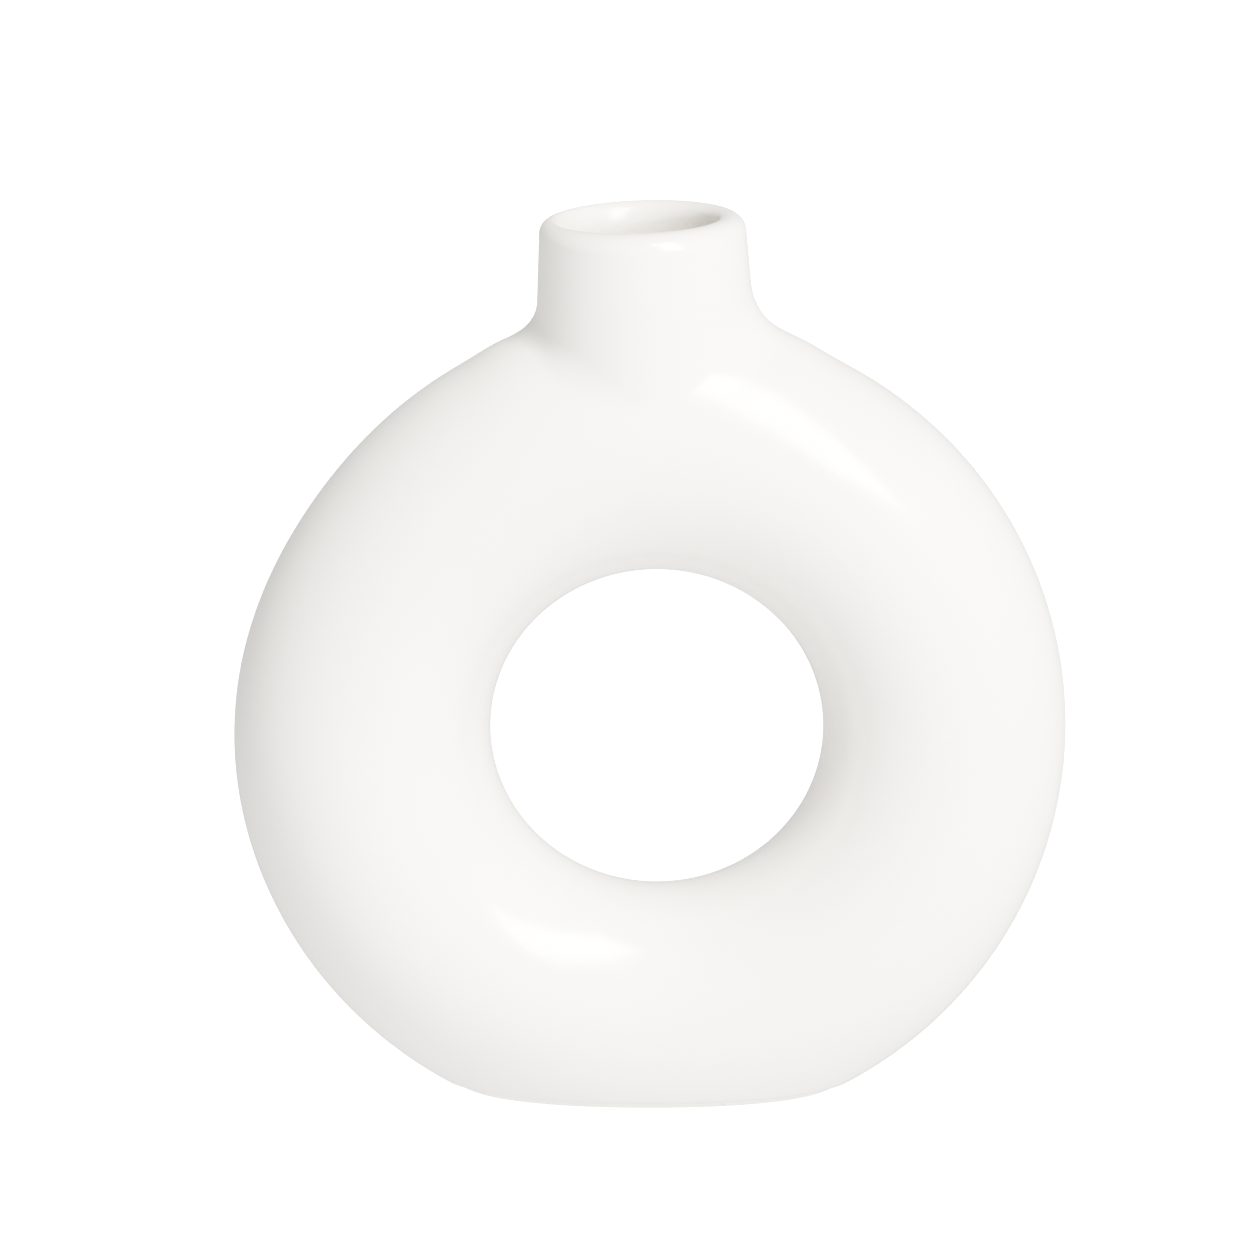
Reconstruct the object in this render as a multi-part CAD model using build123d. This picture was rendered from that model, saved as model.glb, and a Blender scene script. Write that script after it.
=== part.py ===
"""Donut vase: a hollow ring of glazed stoneware that stands on a flattened foot, with a short neck on top.

The clay is put together from four pieces, luted edge to edge: a foot dish, a front and a rear half ring
that meet on the ring's middle plane, and a neck collar. A liner glaze coats the inside and an outer glaze
coats the outside. They meet on the crown of the lip, and the underside of the foot stays bare.

Frame: +Z is up, the ring's axis is Y with the front at -Y, and the origin is the middle of the foot on the
table. Every surface of the ring and the neck is parallel to the glazed outside, so each form below takes an
inset from it.
"""

import math
import os

from build123d import *

# Driving dimensions of the finished vase, in millimetres and degrees
RING_RADIUS = 65.3  # ring centre to the middle of the round section
TUBE_RADIUS = 28.4  # round section of the ring, over the glaze
FOOT_CUT = 10.4  # how much of the ring's underside the flat foot takes away
NECK_HEIGHT = 22.7  # crown of the lip above the ring's topmost point
NECK_STEP = 5.3  # how far the neck's outside at the lip stays inside the ring's front
NECK_SPREAD = 2.9  # what the neck's outside gains in radius down to the middle of the ring's section
NECK_WALL = 5.8  # wall at the lip, with both glazes
NECK_LEAN = 1.7  # the neck was set on by hand and leans this much towards -X
NECK_BLEND = 14.0  # radius of the hollow curve from the neck to the ring
COLLAR_HEIGHT = 14.0  # lip crown down to the joint of the collar
CLAY_WALL = 3.6  # wall of the ring, without its glazes
GLAZE = 0.4  # each coat of glaze
GLAZE_LINE = 1.6  # lower edge of the outer glaze above the table
FOOT_HEIGHT = 12.0  # table up to the joint of the foot dish
FOOT_ROUND = 3.0  # rounded outer edge of the bare foot
FLOOR = 5.0  # clay under the hollow
FLOOR_BLEND = 5.0  # inside corner between floor and wall
FOOT_RING = 7.0  # bare rim round the recess in the underside, out to where the clay would meet the table
FOOT_RECESS = 1.2  # depth of that recess
OVERRUN = 6.0  # how far a cutting solid passes the faces that it cuts

# Share of the lip's wall that lies outside its crown, where the two glazes meet
LIP_CROWN_SHARE = 0.65

# Sizes that follow from the ones above
RING_OUTSIDE = RING_RADIUS + TUBE_RADIUS
CENTRE_HEIGHT = RING_OUTSIDE - FOOT_CUT
CROWN = TUBE_RADIUS + NECK_HEIGHT
NECK_RADIUS = TUBE_RADIUS - NECK_STEP
BORE_RADIUS = NECK_RADIUS - NECK_WALL
LIP_OUTER_ROUND = NECK_WALL * LIP_CROWN_SHARE
LIP_INNER_ROUND = NECK_WALL - LIP_OUTER_ROUND
CROWN_RADIUS = NECK_RADIUS - LIP_OUTER_ROUND
INSET_CAVITY = GLAZE + CLAY_WALL
INSET_LINED = INSET_CAVITY + GLAZE
INSET_MIDWALL = GLAZE + CLAY_WALL / 2
FOOT_HALF_LENGTH = math.sqrt((RING_OUTSIDE - GLAZE) ** 2 - CENTRE_HEIGHT**2)
FOOT_HALF_WIDTH = math.sqrt((TUBE_RADIUS - GLAZE) ** 2 - (TUBE_RADIUS - FOOT_CUT) ** 2)
REACH = CENTRE_HEIGHT + RING_RADIUS + CROWN + OVERRUN

RING_CENTRE = Pos(0, 0, CENTRE_HEIGHT)
# The neck's own frame: its origin is the middle of the ring's section under it, and its Z leans with it
NECK_FRAME = RING_CENTRE * Pos(0, 0, RING_RADIUS) * Rot(0, -NECK_LEAN, 0)
ON_AXIS = (Align.CENTER, Align.CENTER, Align.MIN)
BELOW = (Align.CENTER, Align.CENTER, Align.MAX)


def below(height):
    """A block that holds everything under a level plane at this height."""
    return Pos(0, 0, height) * Box(2 * REACH, 2 * REACH, 2 * REACH, align=BELOW)


def above_collar_joint():
    """A block that holds everything past the collar's joint, square to the neck's axis."""
    block = Box(2 * REACH, 2 * REACH, 2 * REACH, align=ON_AXIS)
    return NECK_FRAME * Pos(0, 0, CROWN - COLLAR_HEIGHT) * block


def ring_form(inset):
    """The full ring, as a solid torus whose surface lies this far inside the glazed outside."""
    return RING_CENTRE * Rot(90, 0, 0) * Torus(RING_RADIUS, TUBE_RADIUS - inset)


def blended(ring, neck, inset):
    """Ring and neck as one solid, with the hollow curve along the line where they meet."""
    form = ring + neck
    meeting_line = [e for e in form.edges() if e.geom_type not in (GeomType.CIRCLE, GeomType.LINE)]
    return fillet(meeting_line, NECK_BLEND + inset)


def flattened(form, height, edge_round):
    """The form cut level at this height, with the edge round the flat rounded."""
    cut = form - below(height)
    flat = cut.faces().sort_by(Axis.Z)[0]
    return fillet(flat.edges(), edge_round)


def outside_form(inset):
    """The vase as a solid lump: ring, tapered neck and flat foot, this far inside the glazed outside.

    The neck's wall reaches its own radius where the lip's round starts, and tapers on past it to the crown.
    """
    root_radius = NECK_RADIUS + NECK_SPREAD - inset
    crown_radius = NECK_RADIUS - NECK_SPREAD * LIP_OUTER_ROUND / (CROWN - LIP_OUTER_ROUND) - inset
    neck = NECK_FRAME * Cone(root_radius, crown_radius, CROWN, align=ON_AXIS)
    lump = blended(ring_form(inset), neck, inset)
    return flattened(lump, inset - GLAZE, FOOT_ROUND + GLAZE - inset)


def hollow_form(inset, bore_radius, floor):
    """The space inside: the ring's hollow and the straight bore, which runs out past the lip."""
    bore = NECK_FRAME * Cylinder(bore_radius, CROWN + OVERRUN, align=ON_AXIS)
    space = blended(ring_form(inset), bore, inset)
    return flattened(space, floor, FLOOR_BLEND + FLOOR - floor)


def lip_trim(inset):
    """What the rounded lip leaves out: a ring over two arcs that meet, level, on the crown."""
    outer_edge = NECK_RADIUS - inset
    inner_edge = BORE_RADIUS + inset
    crown_height = CROWN - inset
    outer_round = LIP_OUTER_ROUND - inset
    inner_round = LIP_INNER_ROUND - inset
    side = outer_edge + OVERRUN
    top = CROWN + OVERRUN
    arc_share = math.sqrt(0.5)
    inner_start = (inner_edge, crown_height - inner_round)
    inner_middle = (CROWN_RADIUS - inner_round * arc_share, crown_height - inner_round * (1 - arc_share))
    crown = (CROWN_RADIUS, crown_height)
    outer_middle = (CROWN_RADIUS + outer_round * arc_share, crown_height - outer_round * (1 - arc_share))
    outer_end = (outer_edge, crown_height - outer_round)
    outline = [
        ThreePointArc(inner_start, inner_middle, crown),
        ThreePointArc(crown, outer_middle, outer_end),
        Polyline(outer_end, (side, outer_end[1]), (side, top), (0, top), (0, inner_start[1]), inner_start),
    ]
    section = Plane.XZ * make_face(outline)
    return NECK_FRAME * revolve(section, Axis.Z)


def clay_wall():
    """All the clay of the vase in one piece, before it is divided at its joints."""
    space = hollow_form(INSET_CAVITY, BORE_RADIUS + GLAZE, FLOOR)
    return outside_form(GLAZE) - space - lip_trim(GLAZE)


def foot_recess():
    """The shallow oval recess in the underside, which leaves a bare foot ring to stand on."""
    oval = Ellipse(FOOT_HALF_LENGTH - FOOT_RING, FOOT_HALF_WIDTH - FOOT_RING)
    return extrude(Pos(0, 0, -OVERRUN) * oval, OVERRUN + FOOT_RECESS)


def make_foot(clay):
    """The flat dish that closes the ring's underside."""
    return (clay & below(FOOT_HEIGHT)) - foot_recess()


def make_half_ring(clay, side):
    """One half of the hollow ring, from the foot's joint to the collar's: side -1 in front, 1 behind."""
    half_space = Pos(0, side * REACH, CENTRE_HEIGHT) * Box(2 * REACH, 2 * REACH, 2 * REACH)
    return (clay & half_space) - below(FOOT_HEIGHT) - above_collar_joint()


def make_neck_collar(clay):
    """The top of the neck, a short tube with the rounded lip."""
    return clay & above_collar_joint()


def midwall_core():
    """Everything inside the middle of the clay wall. It parts the two glazes on the lip's crown."""
    return hollow_form(INSET_MIDWALL, CROWN_RADIUS, FLOOR / 2)


def make_glazes(clay):
    """The outer glaze, which ends above the table, and the liner glaze, which covers the whole inside."""
    lined_space = hollow_form(INSET_LINED, BORE_RADIUS, FLOOR + GLAZE)
    finished = outside_form(0) - lined_space - lip_trim(0)
    coats = finished - clay
    core = midwall_core()
    return coats - core - below(GLAZE_LINE), coats & core


def main():
    clay = clay_wall()
    outer_glaze, liner_glaze = make_glazes(clay)
    nodes = {
        "foot": make_foot(clay),
        "front_half_ring": make_half_ring(clay, -1),
        "rear_half_ring": make_half_ring(clay, 1),
        "neck_collar": make_neck_collar(clay),
        "outer_glaze": outer_glaze,
        "liner_glaze": liner_glaze,
    }
    os.makedirs("parts", exist_ok=True)
    for name, piece in nodes.items():
        export_step(piece, f"parts/{name}.step")


main()
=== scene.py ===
"""Looks of the donut vase: a hollow ring of white glazed stoneware on a flat foot, with a short neck on top.

Every piece is a closed shell between two skins of the vessel. A skin is one grid of points: the ring, a neck
that takes the place of a patch on the ring's top, and a foot in place of a patch on its underside. Skins at
different depths under the glazed outside share one numbering of their points, so the same faces serve them
all.

Frame: metres, +Z up, the ring's axis is Y with the front at -Y, and the origin is the middle of the foot.
"""

import math

import bmesh
import bpy
import numpy as np
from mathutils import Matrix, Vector


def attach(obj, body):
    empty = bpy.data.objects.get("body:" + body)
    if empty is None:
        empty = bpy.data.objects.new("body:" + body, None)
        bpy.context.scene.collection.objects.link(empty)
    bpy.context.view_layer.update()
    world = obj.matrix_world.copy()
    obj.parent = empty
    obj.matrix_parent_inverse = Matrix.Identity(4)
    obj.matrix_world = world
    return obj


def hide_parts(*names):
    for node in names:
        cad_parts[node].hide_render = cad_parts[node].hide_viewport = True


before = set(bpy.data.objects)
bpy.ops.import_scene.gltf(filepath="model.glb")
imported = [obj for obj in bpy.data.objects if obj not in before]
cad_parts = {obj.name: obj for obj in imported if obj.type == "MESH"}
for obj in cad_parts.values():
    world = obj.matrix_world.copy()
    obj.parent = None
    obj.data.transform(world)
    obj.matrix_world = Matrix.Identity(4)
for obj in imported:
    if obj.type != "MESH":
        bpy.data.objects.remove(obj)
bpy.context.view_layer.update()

# Driving sizes of the finished vase, in metres and degrees, as its solids have them
RING_RADIUS = 0.0653
TUBE_RADIUS = 0.0284
FOOT_CUT = 0.0104
NECK_HEIGHT = 0.0227
NECK_STEP = 0.0053
NECK_SPREAD = 0.0029
NECK_WALL = 0.0058
NECK_LEAN = 1.7
NECK_BLEND = 0.014
COLLAR_HEIGHT = 0.014
CLAY_WALL = 0.0036
GLAZE = 0.0004
GLAZE_LINE = 0.0016
FOOT_HEIGHT = 0.012
FOOT_ROUND = 0.003
FLOOR = 0.005
FLOOR_BLEND = 0.005
FOOT_RING = 0.007
FOOT_RECESS = 0.0012
LIP_CROWN_SHARE = 0.65

# What the maker's hands left uneven. The shoulder's angles go round the ring from its top, clockwise seen
# from the front. Those of the blend and the lip go round the neck from its right, towards the rear
SHOULDER_FLAT = 0.0025  # how far the left shoulder of the ring is pressed in
SHOULDER_FLAT_AT = -54.3
SHOULDER_FLAT_REACH = 28.0
SHOULDER_LIFT_LEFT = 0.0011  # clay pushed up on the ring beside the neck's root
SHOULDER_LIFT_RIGHT = 0.0013
SHOULDER_LIFT_AT = 19.7
SHOULDER_LIFT_REACH = 4.7
SHOULDER_LIFT_FADE = 0.006
SHOULDER_LIFT_EDGE = 12  # a power that keeps the lift to the ring's outer edge
HOLE_SHIFT = 0.0018  # the ring's hole sits this far towards +X
HOLE_WIDE = 0.0004  # and is this much wider than round on either side
BLEND_GAIN = 0.0006  # the hollow curve at the neck's root, on the average against its nominal radius
BLEND_UNEVEN = 0.0023  # and wider on the right, tighter on the left
BLEND_PINCH = 0.007  # and pinched between the two, over a few degrees
BLEND_PINCH_AT = -156.0
BLEND_PINCH_NARROW = 12.0  # the larger, the fewer degrees
LIP_SHARP = 0.0015  # the lip's outer round is this much smaller on one side
LIP_SHARP_AT = 110.0
LIP_SOFT = 0.0011  # and this much larger on the opposite side
LIP_SOFT_NARROW = 3  # a power that keeps the larger round to that side
LIP_FLARE = 1.3  # inside, the lip's round runs down this many times its width, on the average
LIP_FLARE_UNEVEN = 0.9  # and this much more or less on two opposite sides
LIP_FLARE_AT = 165.0
GLAZE_BEAD = 0.0005  # height over which the lower edge of the outer glaze rounds off
RECESS_ROUND = 0.0004  # wiped edges of the recess under the foot

# Sizes that follow from the ones above
CENTRE_HEIGHT = RING_RADIUS + TUBE_RADIUS - FOOT_CUT
CROWN = TUBE_RADIUS + NECK_HEIGHT
NECK_RADIUS = TUBE_RADIUS - NECK_STEP
BORE_RADIUS = NECK_RADIUS - NECK_WALL
LIP_OUTER_ROUND = NECK_WALL * LIP_CROWN_SHARE
INSET_CAVITY = GLAZE + CLAY_WALL
INSET_LINED = INSET_CAVITY + GLAZE
COLLAR_JOINT = CROWN - COLLAR_HEIGHT
FOOT_HALF_LENGTH = math.sqrt((RING_RADIUS + TUBE_RADIUS - GLAZE) ** 2 - CENTRE_HEIGHT**2)
FOOT_HALF_WIDTH = math.sqrt((TUBE_RADIUS - GLAZE) ** 2 - (TUBE_RADIUS - FOOT_CUT) ** 2)

# The neck's own axes: its foot lies in the middle of the ring's section, and it leans towards -X
LEAN = math.radians(NECK_LEAN)
NECK_FOOT = np.array([0.0, 0.0, CENTRE_HEIGHT + RING_RADIUS])
NECK_AXIS = np.array([-math.sin(LEAN), 0.0, math.cos(LEAN)])
NECK_RIGHT = np.array([math.cos(LEAN), 0.0, math.sin(LEAN)])
NECK_REAR = np.array([0.0, 1.0, 0.0])

# Steps of the grid round the ring and round its section, and half the size of the two patches in such steps
RING_STEPS = 240
SECTION_STEPS = 104
NECK_PATCH = (22, 29)
FOOT_PATCH = (37, 32)

# Rows of the neck from its crown down, and of the foot from its patch's border to the middle
LIP_ROWS = 14
COLLAR_ROWS = 8
ROOT_ROWS = 4
BLEND_ROWS = 16
PATCH_ROWS = 10
WALL_ROWS = 10
HEEL_ROWS = 2
ROUND_ROWS = 6
LAND_ROWS = 4
RECESS_ROWS = 8
UNDERSIDE_ROWS = 6
BISECTIONS = 48
CROWN_CROWDING = 1.5  # a power that crowds the lip's rows towards its crown
GLAZE_LINE_CROWDING = 0.5  # and one that crowds the foot's wall rows towards the glaze line
MERGE_DISTANCE = 1e-7  # rows that meet lie closer than this, in metres
SHARP_ANGLE = 40.0  # edges that turn by more degrees than this stay square


def patch_border(half_ring, half_section):
    """Grid steps (along the ring, round the section) once round a patch, from its middle on the +X side."""
    ring = np.concatenate([
        np.full(2 * half_section, half_ring),
        np.arange(half_ring, -half_ring, -1),
        np.full(2 * half_section, -half_ring),
        np.arange(-half_ring, half_ring),
    ])
    section = np.concatenate([
        np.arange(-half_section, half_section),
        np.full(2 * half_ring, half_section),
        np.arange(half_section, -half_section, -1),
        np.full(2 * half_ring, -half_section),
    ])
    return np.roll(ring, -half_section), np.roll(section, -half_section)


def border_angles(border, patch):
    """The direction of each border point from the patch's middle, with the patch taken as a square."""
    return np.arctan2(border[1] / patch[1], border[0] / patch[0])


RING_STEP = 2 * math.pi / RING_STEPS
SECTION_STEP = 2 * math.pi / SECTION_STEPS
NECK_BORDER = patch_border(*NECK_PATCH)
FOOT_BORDER = patch_border(*FOOT_PATCH)
NECK_ANGLES = border_angles(NECK_BORDER, NECK_PATCH)
FOOT_ANGLES = border_angles(FOOT_BORDER, FOOT_PATCH)


def shares(count):
    """The row positions 1/count, 2/count, ... 1, as a column."""
    return np.arange(1, count + 1)[:, None] / count


def shares_from_zero(count):
    """The row positions 0, 1/count, ... up to the last one before 1, as a column."""
    return np.arange(count)[:, None] / count


def on_ring(along, around, tube):
    """Points of a torus: the angle along runs from the top towards +X, and around from the outside to +Y."""
    reach = RING_RADIUS + tube * np.cos(around)
    return np.stack([
        reach * np.sin(along),
        tube * np.sin(around),
        CENTRE_HEIGHT + reach * np.cos(along),
    ], -1)


def ring_normal(along, around):
    """Outward direction of the torus at those two angles."""
    return np.stack([
        np.cos(around) * np.sin(along),
        np.sin(around),
        np.cos(around) * np.cos(along),
    ], -1)


def ring_angles(points):
    """The two torus angles under which points lie, and their distance from the middle of the section."""
    height = points[..., 2] - CENTRE_HEIGHT
    outward = np.hypot(points[..., 0], height) - RING_RADIUS
    along = np.arctan2(points[..., 0], height)
    around = np.arctan2(points[..., 1], outward)
    return along, around, np.hypot(outward, points[..., 1])


def turned(start, end, share):
    """Unit directions on the arc from start to end, at each share of its angle."""
    angle = np.arccos(np.clip((start * end).sum(-1), -1, 1))
    share = share[..., None]
    angle = angle[..., None]
    return (np.sin((1 - share) * angle) * start + np.sin(share * angle) * end) / np.sin(angle)


def bisected(too_low, low, high):
    """The place between low and high, one for each column, where too_low stops being true."""
    for _ in range(BISECTIONS):
        middle = (low + high) / 2
        under = too_low(middle)
        low = np.where(under, middle, low)
        high = np.where(under, high, middle)
    return (low + high) / 2


def neck_rows(inset, inside):
    """Rows from the lip's crown down to the ring: a quarter ellipse, a straight or tapering wall, the hollow
    curve that a ball rolling between neck and ring leaves, and a stretch of the ring out to the patch's
    border. The ellipse's axes and the ball's radius vary smoothly with the angle round the neck."""
    outward = np.cos(NECK_ANGLES)[:, None] * NECK_RIGHT + np.sin(NECK_ANGLES)[:, None] * NECK_REAR
    tube = TUBE_RADIUS - inset
    soft = np.abs(np.sin((NECK_ANGLES - math.radians(LIP_SHARP_AT)) / 2)) ** LIP_SOFT_NARROW
    outer_round = LIP_OUTER_ROUND - LIP_SHARP + (LIP_SHARP + LIP_SOFT) * soft
    inner_round = NECK_WALL - outer_round
    crown_radius = NECK_RADIUS - outer_round
    if inside:
        flare = LIP_FLARE + LIP_FLARE_UNEVEN * np.cos(NECK_ANGLES - math.radians(LIP_FLARE_AT))
        lip_height = CROWN - flare * inner_round
        lip_width = INSET_LINED - inset - inner_round
        lip_edge = BORE_RADIUS + INSET_LINED - inset
        taper = 0.0
        ball = np.full(NECK_ANGLES.shape, NECK_BLEND + inset)
    else:
        lip_height = CROWN - outer_round
        lip_width = outer_round - inset
        lip_edge = NECK_RADIUS - inset
        taper = NECK_SPREAD / (CROWN - LIP_OUTER_ROUND)
        pinch = np.exp(BLEND_PINCH_NARROW * (np.cos(NECK_ANGLES - math.radians(BLEND_PINCH_AT)) - 1))
        ball = NECK_BLEND + BLEND_GAIN + BLEND_UNEVEN * np.cos(NECK_ANGLES) - BLEND_PINCH * pinch + inset

    def at(radius, height):
        return NECK_FOOT + radius[..., None] * outward + height[..., None] * NECK_AXIS

    def wall_radius(height):
        return lip_edge + taper * (lip_height - height)

    wall_out = outward + taper * NECK_AXIS
    wall_out = wall_out / np.linalg.norm(wall_out, axis=-1, keepdims=True)

    def ball_centre(height):
        return at(wall_radius(height), height) + ball[:, None] * wall_out

    def in_the_ring(height):
        return ring_angles(ball_centre(height))[2] < tube + ball

    every = np.ones_like(NECK_ANGLES)
    # Rows crowd towards the crown, where the two glazes meet and have to look like one
    turn = shares_from_zero(LIP_ROWS) ** CROWN_CROWDING * math.pi / 2 * every
    lip_rise = CROWN - (INSET_LINED - inset if inside else inset) - lip_height
    lip = at(crown_radius + lip_width * np.sin(turn), lip_height + lip_rise * np.cos(turn))
    height = lip_height + (COLLAR_JOINT - lip_height) * shares_from_zero(COLLAR_ROWS) * every
    collar = at(wall_radius(height), height)
    touch = bisected(in_the_ring, 0 * every, CROWN * every)
    height = COLLAR_JOINT + (touch - COLLAR_JOINT) * shares_from_zero(ROOT_ROWS)
    root = at(wall_radius(height), height)
    centre = ball_centre(touch)
    along, around, _ = ring_angles(centre)
    share = shares_from_zero(BLEND_ROWS) * every
    curve = centre - ball[:, None] * turned(wall_out, ring_normal(along, around), share)
    share = shares_from_zero(PATCH_ROWS)
    patch = on_ring(
        along + (NECK_BORDER[0] * RING_STEP - along) * share,
        around + (NECK_BORDER[1] * SECTION_STEP - around) * share,
        tube,
    )
    return np.concatenate([lip, collar, root, curve, patch])


def foot_rows(inset, inside):
    """Rows from the patch's border on the ring's underside to the middle: down the ring to the foot's joint
    and the glaze line, round a curve that a ball leaves in the corner, and over the level floor or the
    underside."""
    tube = TUBE_RADIUS - inset
    to_border = FOOT_BORDER[0] * RING_STEP, FOOT_BORDER[1] * SECTION_STEP
    every = np.ones_like(FOOT_ANGLES)
    level = FLOOR + inset - INSET_CAVITY if inside else 0.0
    corner = FLOOR_BLEND - (inset - INSET_CAVITY) if inside else FOOT_ROUND

    def place(share, depth=tube):
        return on_ring(math.pi - share * to_border[0], share * to_border[1], depth)

    def share_at(height, depth=tube):
        def under(share):
            return place(share, depth)[..., 2] < height

        return bisected(under, np.zeros_like(height), np.ones_like(height))

    joint = share_at(FOOT_HEIGHT * every)
    patch = place(1 + (joint - 1) * shares(PATCH_ROWS))
    clay_tube = tube if inside else TUBE_RADIUS - GLAZE
    ball = share_at((level + corner) * every, clay_tube - corner)
    # The outer glaze thins to a bead at its lower edge. Every other skin goes on down the same wall
    height = FOOT_HEIGHT + (GLAZE_LINE - FOOT_HEIGHT) * shares(WALL_ROWS) ** GLAZE_LINE_CROWDING * every
    rise = np.clip((height - GLAZE_LINE) / GLAZE_BEAD, 0, 1)
    wall_tube = tube - (tube - clay_tube) * (1 - np.sqrt(1 - (1 - rise) ** 2))
    heel_top = (joint + ball) / 2 if inside else share_at(GLAZE_LINE * every, clay_tube)
    if inside:
        wall = place(joint + (heel_top - joint) * shares(WALL_ROWS))
    else:
        wall = place(share_at(height, wall_tube), wall_tube)
    heel = place(heel_top + (ball - heel_top) * shares(HEEL_ROWS), clay_tube)
    centre = place(ball, clay_tube - corner)
    outward = ring_normal(math.pi - ball * to_border[0], ball * to_border[1])
    down = np.broadcast_to([0.0, 0.0, -1.0], outward.shape)
    curve = centre + corner * turned(outward, down, shares(ROUND_ROWS) * every)
    if inside:
        middle = np.array([0.0, 0.0, level])
        share = shares(LAND_ROWS + RECESS_ROWS + UNDERSIDE_ROWS)[:-1, :, None]
        return np.concatenate([patch, wall, heel, curve, curve[-1] + (middle - curve[-1]) * share])
    return np.concatenate([patch, wall, heel, curve, *underside_rows(curve[-1])])


def underside_rows(rim):
    """From the foot's rim over its land, round into the oval recess, and to the middle: the oval's points
    moved along its own outward direction by the two quarter arcs of the recess's wall."""
    half_length = FOOT_HALF_LENGTH - FOOT_RING
    half_width = FOOT_HALF_WIDTH - FOOT_RING
    cosine = np.cos(FOOT_ANGLES)
    sine = np.sin(FOOT_ANGLES)
    oval = np.stack([half_length * cosine, half_width * sine, 0 * FOOT_ANGLES], -1)
    out = np.stack([half_width * cosine, half_length * sine, 0 * FOOT_ANGLES], -1)
    out = out / np.linalg.norm(out, axis=-1, keepdims=True)
    up = np.array([0.0, 0.0, 1.0])
    edge = oval + RECESS_ROUND * out
    land = rim + (edge - rim) * shares(LAND_ROWS)[..., None]
    half = RECESS_ROWS // 2
    turn = shares(half)[..., None] * math.pi / 2
    lower = oval + RECESS_ROUND * ((1 - np.sin(turn)) * out + (1 - np.cos(turn)) * up)
    upper = oval + (FOOT_RECESS - RECESS_ROUND) * up
    upper = upper + RECESS_ROUND * ((np.cos(turn) - 1) * out + np.sin(turn) * up)
    middle = FOOT_RECESS * up
    share = shares(UNDERSIDE_ROWS)[:-1, :, None]
    return land, lower, upper, upper[-1] + (middle - upper[-1]) * share


def hand_shaped(points):
    """The maker's touch: points move along the ring's radius by soft bumps round the ring, the outside by
    the pressed shoulder and the lifted root, the hole's wall by a shift, with the section angle weighing the
    two. The move fades out towards the table, so the foot stays flat."""
    height = points[:, 2] - CENTRE_HEIGHT
    reach = np.hypot(points[:, 0], height)
    along, around, _ = ring_angles(points)
    outer = (1 + np.cos(around)) / 2

    def bump(middle, width):
        return np.exp(-(((along - math.radians(middle)) / math.radians(width)) ** 2))

    fade = np.exp(-np.maximum(0, reach - RING_RADIUS - TUBE_RADIUS) / SHOULDER_LIFT_FADE)
    lift = SHOULDER_LIFT_LEFT * bump(-SHOULDER_LIFT_AT, SHOULDER_LIFT_REACH)
    lift = lift + SHOULDER_LIFT_RIGHT * bump(SHOULDER_LIFT_AT, SHOULDER_LIFT_REACH)
    press = SHOULDER_FLAT * bump(SHOULDER_FLAT_AT, SHOULDER_FLAT_REACH)
    steady = np.clip(points[:, 2] / FOOT_HEIGHT, 0, 1)
    lift = fade * outer**SHOULDER_LIFT_EDGE * lift
    shift = (1 - outer) * np.sin(along) * (HOLE_SHIFT + HOLE_WIDE * np.sin(along))
    move = steady * (lift - outer * press + shift)
    grown = 1 + move / reach
    return np.stack([points[:, 0] * grown, points[:, 1], CENTRE_HEIGHT + height * grown], -1)


def skin(inset, inside):
    """All points of the vessel's surface this far under the glazed outside: ring, neck, foot and middle."""
    along, around = np.meshgrid(
        np.arange(RING_STEPS) * RING_STEP, np.arange(SECTION_STEPS) * SECTION_STEP, indexing="ij"
    )
    ring = on_ring(along, around, TUBE_RADIUS - inset)
    middle_height = FLOOR + inset - INSET_CAVITY if inside else FOOT_RECESS
    middle = np.array([[0.0, 0.0, middle_height]])
    blocks = [ring, neck_rows(inset, inside), foot_rows(inset, inside), middle]
    return hand_shaped(np.concatenate([block.reshape(-1, 3) for block in blocks]))


def border_ids(ring_steps, section_steps):
    """Numbers of the ring's own points on a patch's border."""
    return (ring_steps % RING_STEPS) * SECTION_STEPS + section_steps % SECTION_STEPS


def strips(ids):
    """Four-sided faces between neighbouring rows of a block whose columns close into a ring."""
    upper, lower = ids[:-1], ids[1:]
    return np.stack([upper, lower, np.roll(lower, -1, 1), np.roll(upper, -1, 1)], -1)


def ring_faces():
    """Four-sided faces of the ring, and which of them neither patch takes."""
    ids = np.arange(RING_STEPS * SECTION_STEPS).reshape(RING_STEPS, SECTION_STEPS)
    after = np.roll(ids, -1, 0)
    faces = np.stack([ids, after, np.roll(after, -1, 1), np.roll(ids, -1, 1)], -1)
    from_top = (np.arange(RING_STEPS) + RING_STEPS // 2) % RING_STEPS - RING_STEPS // 2
    from_foot = np.arange(RING_STEPS) - RING_STEPS // 2
    from_outside = (np.arange(SECTION_STEPS) + SECTION_STEPS // 2) % SECTION_STEPS - SECTION_STEPS // 2

    def within(steps, half):
        return (steps >= -half) & (steps < half)

    in_neck = within(from_top, NECK_PATCH[0])[:, None] & within(from_outside, NECK_PATCH[1])
    in_foot = within(from_foot, FOOT_PATCH[0])[:, None] & within(from_outside, FOOT_PATCH[1])
    return faces, ~(in_neck | in_foot)


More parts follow.
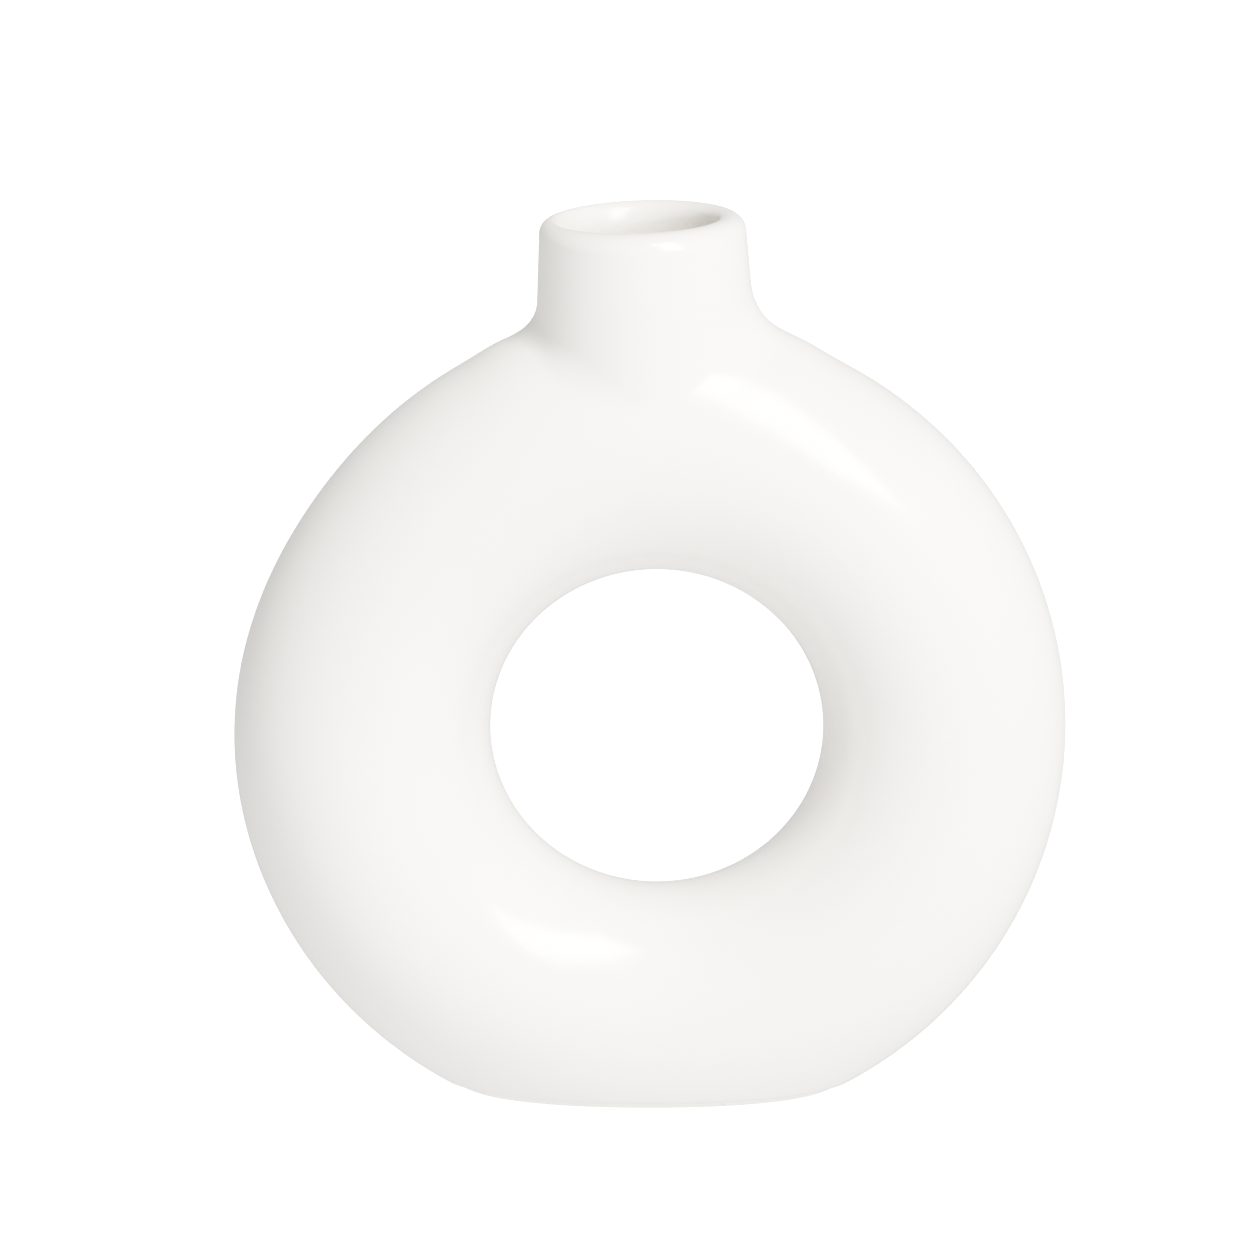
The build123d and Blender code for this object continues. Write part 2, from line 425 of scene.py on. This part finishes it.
NECK_COUNT = LIP_ROWS + COLLAR_ROWS + ROOT_ROWS + BLEND_ROWS + PATCH_ROWS
FOOT_COUNT = PATCH_ROWS + WALL_ROWS + HEEL_ROWS + ROUND_ROWS + LAND_ROWS + RECESS_ROWS + UNDERSIDE_ROWS - 1
RING_POINTS = RING_STEPS * SECTION_STEPS
NECK_POINTS = NECK_COUNT * len(NECK_ANGLES)
FOOT_POINTS = FOOT_COUNT * len(FOOT_ANGLES)
MIDDLE_ID = RING_POINTS + NECK_POINTS + FOOT_POINTS
SKIN_POINTS = MIDDLE_ID + 1
NECK_IDS = np.concatenate([
    RING_POINTS + np.arange(NECK_POINTS).reshape(NECK_COUNT, -1),
    border_ids(*NECK_BORDER)[None],
])
FOOT_IDS = np.concatenate([
    border_ids(RING_STEPS // 2 - FOOT_BORDER[0], FOOT_BORDER[1])[None],
    RING_POINTS + NECK_POINTS + np.arange(FOOT_POINTS).reshape(FOOT_COUNT, -1),
])
NECK_FACES = strips(NECK_IDS)
FOOT_FACES = strips(FOOT_IDS)
RING_FACES, RING_KEPT = ring_faces()
MIDDLE_FACES = np.stack([
    FOOT_IDS[-1], np.full(len(FOOT_ANGLES), MIDDLE_ID), np.roll(FOOT_IDS[-1], -1)
], -1)
NO_FACES = MIDDLE_FACES[:0]
COLLAR_ROW = LIP_ROWS + COLLAR_ROWS
JOINT_ROW = PATCH_ROWS
GLAZE_ROW = PATCH_ROWS + WALL_ROWS


def together(*blocks):
    """Blocks of four-sided faces as one list."""
    return np.concatenate([block.reshape(-1, 4) for block in blocks])


def rim_of(quads, triangles):
    """Edges that only one face has, as pairs in that face's own direction."""
    loops = [quads[:, [n, (n + 1) % 4]] for n in range(4)]
    loops += [triangles[:, [n, (n + 1) % 3]] for n in range(3)]
    edges = np.concatenate(loops)
    forth = edges[:, 0] * SKIN_POINTS + edges[:, 1]
    back = edges[:, 1] * SKIN_POINTS + edges[:, 0]
    return edges[~np.isin(forth, back)]


def shell(name, outer, inner, quads, triangles=NO_FACES):
    """A closed piece: these faces on the outer skin, the same ones turned round on the inner skin, and a
    band of faces along every open edge between the two."""
    edges = rim_of(quads, triangles)
    band = np.stack([edges[:, 1], edges[:, 0], edges[:, 0] + SKIN_POINTS, edges[:, 1] + SKIN_POINTS], -1)
    fours = np.concatenate([quads, quads[:, ::-1] + SKIN_POINTS, band])
    threes = np.concatenate([triangles, triangles[:, ::-1] + SKIN_POINTS])
    used, numbers = np.unique(np.concatenate([fours.ravel(), threes.ravel()]), return_inverse=True)
    fours_new = numbers[: fours.size].reshape(-1, 4)
    threes_new = numbers[fours.size:].reshape(-1, 3)
    points = np.concatenate([outer, inner])[used]
    mesh = bpy.data.meshes.new(name)
    mesh.from_pydata(points.tolist(), [], fours_new.tolist() + threes_new.tolist())
    close_seams(mesh)
    piece = bpy.data.objects.new(name, mesh)
    bpy.context.scene.collection.objects.link(piece)
    return piece


def close_seams(mesh):
    """Merges rows that meet, and shades the shell smooth but for its square rims."""
    work = bmesh.new()
    work.from_mesh(mesh)
    bmesh.ops.remove_doubles(work, verts=work.verts, dist=MERGE_DISTANCE)
    work.to_mesh(mesh)
    work.free()
    mesh.polygons.foreach_set("use_smooth", np.ones(len(mesh.polygons), bool))
    mesh.set_sharp_from_angle(angle=math.radians(SHARP_ANGLE))
    mesh.update()


def points_of(piece):
    """The places of a piece's points, one row for each."""
    points = np.empty(3 * len(piece.data.vertices), np.float32)
    piece.data.vertices.foreach_get("co", points)
    return points.reshape(-1, 3).astype(float)


def mark(piece, name, values):
    """Stores one number for each point of a piece, for its material to read."""
    marks = piece.data.attributes.new(name, "FLOAT", "POINT")
    marks.data.foreach_set("value", values.astype(np.float32))


THIN_LIP = 0.0016  # height over which thin glaze fades into full glaze, at the lip
THIN_FOOT = 0.0012  # and at the glaze's lower edge


def mark_thin_glaze(piece):
    """Glaze runs thin on the lip's crown and at its lower edge: a fading share by the height from each."""
    points = points_of(piece)
    from_crown = CROWN - (points - NECK_FOOT) @ NECK_AXIS
    from_line = points[:, 2] - GLAZE_LINE
    thin = np.exp(-np.abs(from_crown) / THIN_LIP) + np.exp(-np.abs(from_line) / THIN_FOOT)
    mark(piece, "thin_glaze", np.clip(thin, 0, 1))


def build_pieces():
    """The six pieces, each in place of its solid."""
    glazed, clay = skin(0, False), skin(GLAZE, False)
    hollow, lined = skin(INSET_CAVITY, True), skin(INSET_LINED, True)
    half_neck = len(NECK_ANGLES) // 2
    half_foot = len(FOOT_ANGLES) // 2
    half_ring = SECTION_STEPS // 2
    ring = RING_FACES[RING_KEPT]
    rear_ring = RING_FACES[:, :half_ring][RING_KEPT[:, :half_ring]]
    front_ring = RING_FACES[:, half_ring:][RING_KEPT[:, half_ring:]]
    neck_root = NECK_FACES[COLLAR_ROW:]
    foot_root = FOOT_FACES[:JOINT_ROW]
    return {
        "outer_glaze": shell(
            "outer_glaze", glazed, clay,
            together(NECK_FACES, ring, FOOT_FACES[:GLAZE_ROW]),
        ),
        "liner_glaze": shell(
            "liner_glaze", hollow, lined,
            together(NECK_FACES, ring, FOOT_FACES), MIDDLE_FACES,
        ),
        "neck_collar": shell("neck_collar", clay, hollow, together(NECK_FACES[:COLLAR_ROW])),
        "foot": shell("foot", clay, hollow, together(FOOT_FACES[JOINT_ROW:]), MIDDLE_FACES),
        "rear_half_ring": shell(
            "rear_half_ring", clay, hollow,
            together(neck_root[:, :half_neck], rear_ring, foot_root[:, :half_foot]),
        ),
        "front_half_ring": shell(
            "front_half_ring", clay, hollow,
            together(neck_root[:, half_neck:], front_ring, foot_root[:, half_foot:]),
        ),
    }


def new_material(name):
    """A material with its tree, its shader, and the object's own coordinates."""
    material = bpy.data.materials.new(name)
    material.use_nodes = True
    tree = material.node_tree
    place = tree.nodes.new("ShaderNodeTexCoord").outputs["Object"]
    return material, tree, tree.nodes["Principled BSDF"], place


def noise(tree, place, scale, detail=2.0, roughness=0.5):
    """Soft noise with this many waves to the metre."""
    node = tree.nodes.new("ShaderNodeTexNoise")
    node.inputs["Scale"].default_value = scale
    node.inputs["Detail"].default_value = detail
    node.inputs["Roughness"].default_value = roughness
    tree.links.new(place, node.inputs["Vector"])
    return node.outputs["Fac"]


def ranged(tree, value, from_low, from_high, to_low, to_high):
    """A value stretched, between its limits, from the first range to the second."""
    node = tree.nodes.new("ShaderNodeMapRange")
    limits = {"From Min": from_low, "From Max": from_high, "To Min": to_low, "To Max": to_high}
    for socket, number in limits.items():
        node.inputs[socket].default_value = number
    tree.links.new(value, node.inputs["Value"])
    return node.outputs["Result"]


def mixed(tree, factor, first, second):
    """A colour between two, each a colour or another node's output."""
    node = tree.nodes.new("ShaderNodeMix")
    node.data_type = "RGBA"
    tree.links.new(factor, node.inputs["Factor"])
    for socket, colour in (("A", first), ("B", second)):
        target = [s for s in node.inputs if s.name == socket and s.type == "RGBA"][0]
        if isinstance(colour, tuple):
            target.default_value = (*colour, 1.0)
        else:
            tree.links.new(colour, target)
    return [s for s in node.outputs if s.type == "RGBA"][0]


def bumped(tree, height, distance, normal=None):
    """A surface that rises by this distance, in metres, with the height, on top of any normal given."""
    node = tree.nodes.new("ShaderNodeBump")
    node.inputs["Distance"].default_value = distance
    node.inputs["Strength"].default_value = 1.0
    tree.links.new(height, node.inputs["Height"])
    if normal is not None:
        tree.links.new(normal, node.inputs["Normal"])
    return node.outputs["Normal"]


def attribute(tree, name):
    """The number that each point of the piece keeps under this name."""
    node = tree.nodes.new("ShaderNodeAttribute")
    node.attribute_name = name
    return node.outputs["Fac"]


OUTER_WHITE = (0.850, 0.828, 0.788)
OUTER_POOLED = (0.832, 0.811, 0.772)
# The liner is a real second glaze inside the vessel, but its whites are set a shade lighter than the outer
# glaze's: painted light that brightens the inside of the mouth
LINER_WHITE_PAINTED_LIGHT = (0.860, 0.839, 0.793)
LINER_POOLED_PAINTED_LIGHT = (0.845, 0.825, 0.779)
GLAZE_THIN = (0.790, 0.767, 0.729)
THIN_SHARE = 0.6  # how much of that colour the thinnest glaze lets through
OUTER_ROUGHNESS = (0.14, 0.22)
LINER_ROUGHNESS = (0.20, 0.30)
GLAZE_CLOUDS = 22.0  # waves to the metre, as in the next three values
GLAZE_SHINE = 60.0
GLAZE_RIPPLES = 70.0
GLAZE_PITTING = 900.0
RIPPLE_HEIGHT = 0.00005
PITTING_HEIGHT = 0.000004
GLAZE_IOR = 1.6
CLOUD_LIMITS = (0.35, 0.65)  # where the noise of clouds starts and ends
SHINE_LIMITS = (0.3, 0.7)


def white_glaze(name, white, pooled, roughness):
    """Satin white glaze: faint clouds of a second white, a warmer edge where it runs thin, uneven gloss, and
    the long and short ripples of a surface that set from a melt."""
    material, tree, shader, place = new_material(name)
    clouds = ranged(tree, noise(tree, place, GLAZE_CLOUDS, detail=3.0), *CLOUD_LIMITS, 0.0, 1.0)
    colour = mixed(tree, clouds, white, pooled)
    thin = ranged(tree, attribute(tree, "thin_glaze"), 0.0, 1.0, 0.0, THIN_SHARE)
    tree.links.new(mixed(tree, thin, colour, GLAZE_THIN), shader.inputs["Base Color"])
    shine = ranged(tree, noise(tree, place, GLAZE_SHINE, detail=4.0), *SHINE_LIMITS, *roughness)
    tree.links.new(shine, shader.inputs["Roughness"])
    ripples = bumped(tree, noise(tree, place, GLAZE_RIPPLES, detail=1.0), RIPPLE_HEIGHT)
    pitted = bumped(tree, noise(tree, place, GLAZE_PITTING), PITTING_HEIGHT, ripples)
    tree.links.new(pitted, shader.inputs["Normal"])
    shader.inputs["IOR"].default_value = GLAZE_IOR
    return material


CLAY_PALE = (0.88, 0.86, 0.815)
CLAY_WARM = (0.84, 0.81, 0.755)
CLAY_GROG = (0.62, 0.55, 0.47)
CLAY_CLOUDS = 45.0  # waves to the metre, as in the next three values
CLAY_SPECKS = 1400.0
CLAY_TOOTH = 300.0
CLAY_GRAIN = 1800.0
GRAIN_HEIGHT = 0.00006
SPECK_LIMITS = (0.62, 0.72)
SPECK_SHARE = 0.6
CLAY_ROUGHNESS = (0.78, 0.92)


def bare_clay(name):
    """Fired clay without glaze: a warm buff with clouds, sandy grain, darker grog, and no gloss."""
    material, tree, shader, place = new_material(name)
    clouds = ranged(tree, noise(tree, place, CLAY_CLOUDS, detail=4.0), *CLOUD_LIMITS, 0.0, 1.0)
    colour = mixed(tree, clouds, CLAY_PALE, CLAY_WARM)
    specks = ranged(tree, noise(tree, place, CLAY_SPECKS), *SPECK_LIMITS, 0.0, SPECK_SHARE)
    tree.links.new(mixed(tree, specks, colour, CLAY_GROG), shader.inputs["Base Color"])
    tooth = ranged(tree, noise(tree, place, CLAY_TOOTH), *SHINE_LIMITS, *CLAY_ROUGHNESS)
    tree.links.new(tooth, shader.inputs["Roughness"])
    grain = bumped(tree, noise(tree, place, CLAY_GRAIN, detail=3.0), GRAIN_HEIGHT)
    tree.links.new(grain, shader.inputs["Normal"])
    return material


def dress(pieces):
    """Each piece's material, the thin-glaze marks where the piece is glaze, and the solid that it replaces.
    """
    outside = white_glaze("white_outer_glaze", OUTER_WHITE, OUTER_POOLED, OUTER_ROUGHNESS)
    inside = white_glaze("white_liner_glaze", LINER_WHITE_PAINTED_LIGHT, LINER_POOLED_PAINTED_LIGHT, LINER_ROUGHNESS)
    clay = bare_clay("bare_stoneware")
    finishes = {"outer_glaze": (outside, "outer_glaze"), "liner_glaze": (inside, "liner_glaze")}
    for name, piece in pieces.items():
        material, slot = finishes.get(name, (clay, "clay"))
        if slot != "clay":
            mark_thin_glaze(piece)
        piece.data.materials.append(material)
        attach(piece, "root")
        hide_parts(name)


FLOOR_HALF = 6.0
FLOOR_ROUGHNESS = 0.9
FLOOR_DROP = 0.0001  # keeps the floor's face apart from the foot's
FLOOR_SHEET = (0.60, 0.60, 0.60)  # share of the room's light that the sheet sends back
FLOOR_GLOW = 3.0  # and the light that shines through it from below


def make_floor():
    """A plain pale sheet on a light table, which runs past every edge of the picture. The room's own light
    stands for what the sheet throws on the vase, so only the camera and the shadows meet it."""
    material, _, shader, _ = new_material("pale_floor")
    shader.inputs["Base Color"].default_value = (*FLOOR_SHEET, 1.0)
    shader.inputs["Roughness"].default_value = FLOOR_ROUGHNESS
    shader.inputs["Specular IOR Level"].default_value = 0.0
    shader.inputs["Emission Color"].default_value = (1.0, 1.0, 1.0, 1.0)
    shader.inputs["Emission Strength"].default_value = FLOOR_GLOW
    corners = FLOOR_HALF * np.array([[-1, -1, 0], [1, -1, 0], [1, 1, 0], [-1, 1, 0]]) - [0, 0, FLOOR_DROP]
    mesh = bpy.data.meshes.new("floor")
    mesh.from_pydata(corners.tolist(), [], [(0, 1, 2, 3)])
    mesh.materials.append(material)
    floor = bpy.data.objects.new("floor", mesh)
    floor.visible_diffuse = False
    floor.visible_glossy = False
    bpy.context.scene.collection.objects.link(floor)


RING_CENTRE = Vector((0.0, 0.0, CENTRE_HEIGHT))


def direction(right, elevation):
    """Unit direction seen from the vase: degrees to the right of its front, and above the horizon."""
    turn, rise = math.radians(right), math.radians(elevation)
    return Vector((math.sin(turn) * math.cos(rise), -math.cos(turn) * math.cos(rise), math.sin(rise)))


SOFT_BOX_SIDE = (35.5, 46.0)  # degrees to the right of the front, and above level
SOFT_BOX_DISTANCE = 4.0
SOFT_BOX_WIDTH = 1.36
SOFT_BOX_HEIGHT = 3.2
SOFT_BOX_POWER = 163.0
SOFT_BOX_WARM = (1.0, 0.98, 0.955)


def make_soft_box():
    """A tall rectangular soft box in front, to the right, that faces the middle of the ring."""
    lamp = bpy.data.lights.new("soft_box", "AREA")
    lamp.shape = "RECTANGLE"
    lamp.size = SOFT_BOX_WIDTH
    lamp.size_y = SOFT_BOX_HEIGHT
    lamp.energy = SOFT_BOX_POWER
    lamp.color = SOFT_BOX_WARM
    towards = direction(*SOFT_BOX_SIDE)
    box = bpy.data.objects.new("soft_box", lamp)
    box.location = RING_CENTRE + SOFT_BOX_DISTANCE * towards
    box.rotation_euler = towards.to_track_quat("Z", "Y").to_euler()
    bpy.context.scene.collection.objects.link(box)


ROOM_SIDE = (39.0, -45.0)  # where the room is brightest, by the same two angles
ROOM_BRIGHT = 1.52
ROOM_DIM = 0.45


def make_room():
    """White surroundings: their light grows evenly, by the cosine, from the dim side to the bright one."""
    world = bpy.data.worlds.new("white_studio")
    world.use_nodes = True
    tree = world.node_tree
    towards = tree.nodes.new("ShaderNodeVectorMath")
    towards.operation = "DOT_PRODUCT"
    towards.inputs[1].default_value = direction(*ROOM_SIDE)
    tree.links.new(tree.nodes.new("ShaderNodeTexCoord").outputs["Generated"], towards.inputs[0])
    strength = ranged(tree, towards.outputs["Value"], -1.0, 1.0, ROOM_DIM, ROOM_BRIGHT)
    surroundings = tree.nodes["Background"]
    surroundings.inputs["Color"].default_value = (1.0, 1.0, 1.0, 1.0)
    tree.links.new(strength, surroundings.inputs["Strength"])
    bpy.context.scene.world = world


FILM_KNEE = 0.45  # up to here the film answers the light in proportion
FILM_TOP = 1.03  # and above that it eases off towards this
FILM_RANGE = 2.0  # the strongest light that it tells apart
FILM_POINTS = 8
FILM_CURVE = 3  # of a curve mapping's four curves, the one that all colours go through


def film(light):
    """What the film makes of light: in proportion up to the knee, then on to the top by an exponential."""
    room = FILM_TOP - FILM_KNEE
    return np.where(light < FILM_KNEE, light, FILM_TOP - room * np.exp((FILM_KNEE - light) / room))


def load_film():
    """A plain response that rounds the brightest whites off, as a camera does."""
    settings = bpy.context.scene.view_settings
    settings.view_transform = "Standard"
    settings.use_curve_mapping = True
    response = settings.curve_mapping
    response.white_level = (FILM_RANGE, FILM_RANGE, FILM_RANGE)
    curve = response.curves[FILM_CURVE]
    steps = shares(FILM_POINTS).ravel()
    levels = np.minimum(film(FILM_RANGE * steps), 1.0)
    for step, level in zip(steps[:-1], levels[:-1]):
        curve.points.new(step, level)
    curve.points[-1].location = (1.0, levels[-1])
    response.update()


PHOTO_SIDE = 1260  # pixels, as the next two values are
FOCAL_PIXELS = 9086
RING_CENTRE_PIXEL = (648.8, 726.4)
CAMERA_DISTANCE = 2.042  # metres from the ring's centre
CAMERA_ELEVATION = 14.09


def make_camera():
    """A long lens in front of the vase, turned so that the ring's centre falls on its place in the frame."""
    lens = bpy.data.cameras.new("camera")
    lens.lens = lens.sensor_width * FOCAL_PIXELS / PHOTO_SIDE
    camera = bpy.data.objects.new("camera", lens)
    back = direction(0, CAMERA_ELEVATION)
    right = Vector((1.0, 0.0, 0.0))
    up = back.cross(right)
    aside = (RING_CENTRE_PIXEL[0] - PHOTO_SIDE / 2) / FOCAL_PIXELS
    below = (RING_CENTRE_PIXEL[1] - PHOTO_SIDE / 2) / FOCAL_PIXELS
    camera.location = RING_CENTRE + CAMERA_DISTANCE * back
    sight = below * up - aside * right - back
    camera.rotation_euler = sight.to_track_quat("-Z", "Y").to_euler()
    bpy.context.scene.collection.objects.link(camera)
    bpy.context.scene.camera = camera


dress(build_pieces())
make_floor()
make_room()
make_soft_box()
load_film()
make_camera()
bpy.context.view_layer.update()
